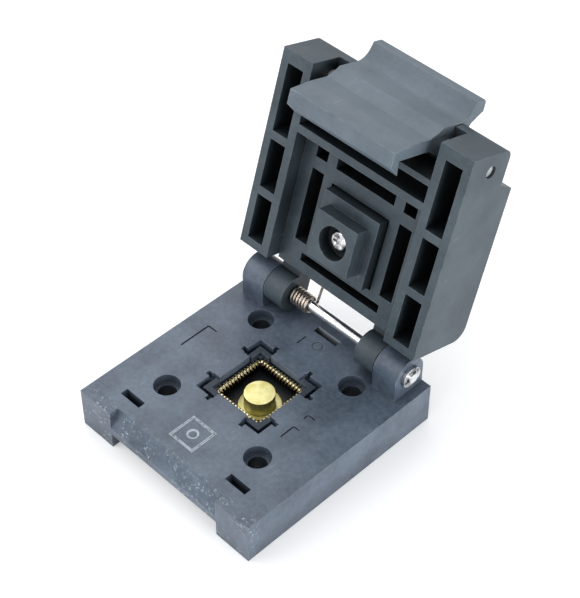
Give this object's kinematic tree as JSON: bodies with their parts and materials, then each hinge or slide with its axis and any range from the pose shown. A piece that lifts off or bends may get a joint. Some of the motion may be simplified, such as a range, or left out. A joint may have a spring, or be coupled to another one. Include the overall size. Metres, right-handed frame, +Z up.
{
  "type": "zif socket",
  "caption": "Open clamshell test socket for a square leadless chip: contact rows, corner guides, a ground pin, and a hinged lid with a sprung pusher and a latch.",
  "frame": {"origin": "centre of the package nest and of the four mounting holes, on the bottom plane", "axes": "+X along the hinge, +Y towards the hinge, +Z up out of the base; the lid is stored open"},
  "size_m": [0.0292, 0.044, 0.0392],
  "materials": {
    "slate_plastic": "moulded, fine matt",
    "latch_plastic": "moulded, fine matt",
    "dark_plastic": "moulded, satin",
    "steel": "polished",
    "spring_steel": "drawn wire",
    "gold_plate": "gold plated",
    "brass_insert": "knurled, plain"
  },
  "bodies": {
    "base": {"base_body": "slate_plastic", "contact_housing": "dark_plastic", "lead_plate": "dark_plastic", "plate_screws": "steel", "contacts_front": "gold_plate", "contacts_rear": "gold_plate", "contacts_left": "gold_plate", "contacts_right": "gold_plate", "ground_sleeve": "gold_plate", "ground_spring": "spring_steel", "nest_springs": "spring_steel", "hinge_shaft": "steel", "e_clip_left": "steel", "e_clip_right": "steel", "hinge_spring": "spring_steel"},
    "lid": {"lid_frame": "slate_plastic", "pusher_screw": "steel", "pusher_insert": "brass_insert", "pusher_springs": "spring_steel", "latch_pin": "steel", "latch_springs": "spring_steel"},
    "latch": {"latch": "latch_plastic"},
    "pusher": {"pusher": "slate_plastic"},
    "nest": {"package_nest": "dark_plastic"},
    "ground_pin": {"ground_pin": "gold_plate"}
  },
  "joints": [
    {"name": "lid_hinge", "type": "hinge", "parent": "base", "child": "lid", "pos_m": [0, 0.01211, 0.00864], "axis": [1, 0, 0], "range_deg": [0, 107], "stiffness_Nm_per_rad": 0.003, "springref_deg": -28.65, "deforming": ["hinge_spring"]},
    {"name": "latch_pivot", "type": "hinge", "parent": "lid", "child": "latch", "pos_m": [0, 0.02165, 0.03543], "axis": [-1, 0, 0], "range_deg": [0, 14], "stiffness_Nm_per_rad": 0.02, "springref_deg": -20.05, "deforming": ["latch_springs"]},
    {"name": "pusher_slide", "type": "slide", "parent": "lid", "child": "pusher", "axis": [0, 0.9563, -0.2924], "range_m": [0, 0.0009], "stiffness_N_per_m": 1500, "springref_m": -0.0005, "deforming": ["pusher_springs"]},
    {"name": "nest_slide", "type": "slide", "parent": "base", "child": "nest", "axis": [0, 0, -1], "range_m": [0, 0.00035], "stiffness_N_per_m": 600, "springref_m": -0.0003, "deforming": ["nest_springs"]},
    {"name": "ground_pin_slide", "type": "slide", "parent": "base", "child": "ground_pin", "axis": [0, 0, -1], "range_m": [0, 0.0003], "stiffness_N_per_m": 800, "springref_m": -0.0004, "deforming": ["ground_spring"]}
  ]
}
